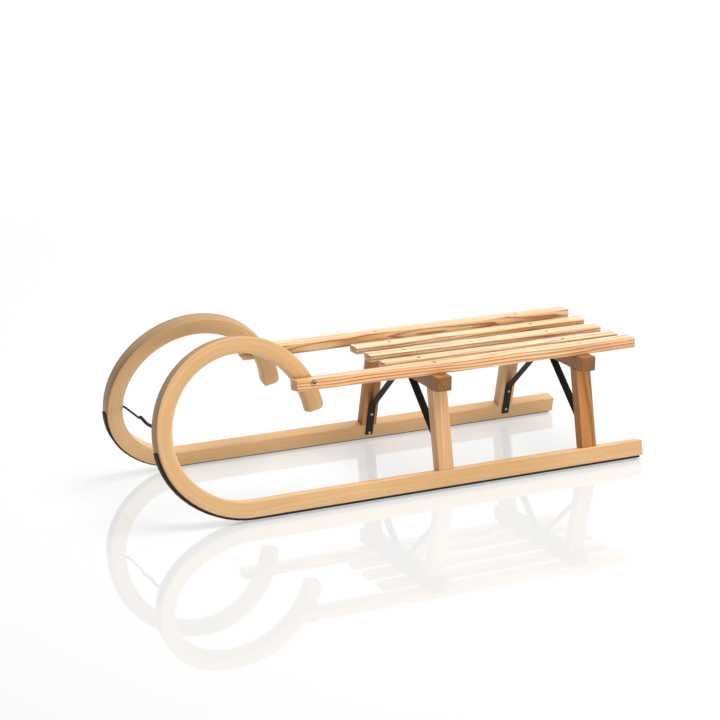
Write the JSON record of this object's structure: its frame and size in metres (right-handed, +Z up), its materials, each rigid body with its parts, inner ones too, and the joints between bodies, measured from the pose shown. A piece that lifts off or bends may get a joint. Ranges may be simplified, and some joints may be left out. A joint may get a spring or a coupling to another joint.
{
  "type": "wooden toboggan",
  "caption": "Bentwood toboggan with upswept horns, a slatted seat on leaning posts, flat steel braces and steel runner shoes.",
  "frame": {"origin": "on the ground under the middle of the sled's bounding box", "axes": "+X towards the rear (the horns point to -X), +Y to the rider's right, +Z up"},
  "size_m": [1.1044, 0.403, 0.3548],
  "materials": {
    "runner_wood": "satin varnish",
    "frame_wood": "satin varnish",
    "slat_wood": "satin varnish",
    "black_steel": "satin black",
    "shoe_steel": "dark worn",
    "zinc_steel": "bright zinc",
    "dark_steel": "dark"
  },
  "bodies": {
    "root": {"brace_front_left": "black_steel", "brace_front_right": "black_steel", "brace_rear_left": "black_steel", "brace_rear_right": "black_steel", "cross_rod": "black_steel", "horn_bolt_left": "zinc_steel", "horn_bolt_right": "zinc_steel", "post_front_left": "frame_wood", "post_front_right": "frame_wood", "post_rear_left": "frame_wood", "post_rear_right": "frame_wood", "rod_collar_left": "black_steel", "rod_collar_right": "black_steel", "rod_sleeve": "black_steel", "runner_left": "runner_wood", "runner_right": "runner_wood", "runner_shoe_left": "shoe_steel", "runner_shoe_right": "shoe_steel", "screw_brace_front_left_lower": "zinc_steel", "screw_brace_front_left_top": "zinc_steel", "screw_brace_front_left_upper": "zinc_steel", "screw_brace_front_right_lower": "zinc_steel", "screw_brace_front_right_top": "zinc_steel", "screw_brace_front_right_upper": "zinc_steel", "screw_brace_rear_left_lower": "zinc_steel", "screw_brace_rear_left_top": "zinc_steel", "screw_brace_rear_left_upper": "zinc_steel", "screw_brace_rear_right_lower": "zinc_steel", "screw_brace_rear_right_top": "zinc_steel", "screw_brace_rear_right_upper": "zinc_steel", "screw_shoe_left_1": "zinc_steel", "screw_shoe_left_2": "zinc_steel", "screw_shoe_left_3": "zinc_steel", "screw_shoe_right_1": "zinc_steel", "screw_shoe_right_2": "zinc_steel", "screw_shoe_right_3": "zinc_steel", "screw_slat_inner_left_front": "dark_steel", "screw_slat_inner_left_rear": "dark_steel", "screw_slat_inner_right_front": "dark_steel", "screw_slat_inner_right_rear": "dark_steel", "screw_slat_middle_front": "dark_steel", "screw_slat_middle_rear": "dark_steel", "screw_slat_outer_left_front": "dark_steel", "screw_slat_outer_left_rear": "dark_steel", "screw_slat_outer_right_front": "dark_steel", "screw_slat_outer_right_rear": "dark_steel", "slat_inner_left": "slat_wood", "slat_inner_right": "slat_wood", "slat_middle": "slat_wood", "slat_outer_left": "slat_wood", "slat_outer_right": "slat_wood", "yoke_front": "frame_wood", "yoke_rear": "frame_wood"}
  },
  "joints": []
}
